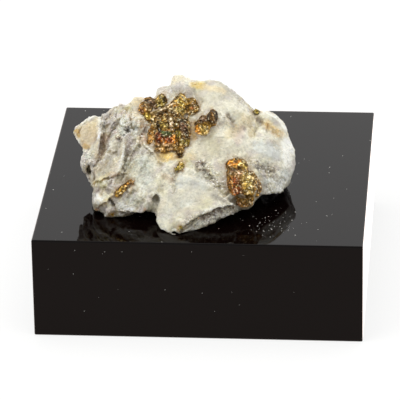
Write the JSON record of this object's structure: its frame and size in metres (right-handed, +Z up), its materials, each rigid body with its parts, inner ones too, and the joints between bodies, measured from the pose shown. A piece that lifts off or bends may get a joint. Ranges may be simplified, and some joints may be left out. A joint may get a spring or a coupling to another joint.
{
  "type": "chalcopyrite on quartz specimen",
  "caption": "Craggy piece of white vein quartz with tarnished brassy chalcopyrite crystals on its front, resting on a square glossy black display block.",
  "frame": {"origin": "middle of the display block's underside", "axes": "+Z up, +X to the right of somebody who faces the crystals, +Y away from them"},
  "size_m": [0.06, 0.06, 0.0388],
  "materials": {
    "black_acrylic": "polished cast acrylic, deep gloss, a little dust",
    "milky_quartz": "broken milky quartz, sugary grain, tan, yellow and grey stains",
    "tarnished_chalcopyrite": "metallic lustre with bronze, red, purple and green tarnish",
    "dark_chalcopyrite": "metallic lustre under a dark brown tarnish, gold where fresh",
    "brassy_chalcopyrite": "brassy metallic lustre, sparkling, lightly tarnished"
  },
  "bodies": {
    "root": {"display_block": "black_acrylic", "quartz_matrix": "milky_quartz", "chalcopyrite_main_cluster": "tarnished_chalcopyrite", "chalcopyrite_middle_pair": "dark_chalcopyrite", "chalcopyrite_right_cluster": "tarnished_chalcopyrite", "chalcopyrite_left_seam": "brassy_chalcopyrite", "chalcopyrite_grain_below": "brassy_chalcopyrite", "chalcopyrite_edge_grain": "brassy_chalcopyrite", "chalcopyrite_foot_grain": "brassy_chalcopyrite", "chalcopyrite_left_grain": "brassy_chalcopyrite"}
  },
  "joints": []
}
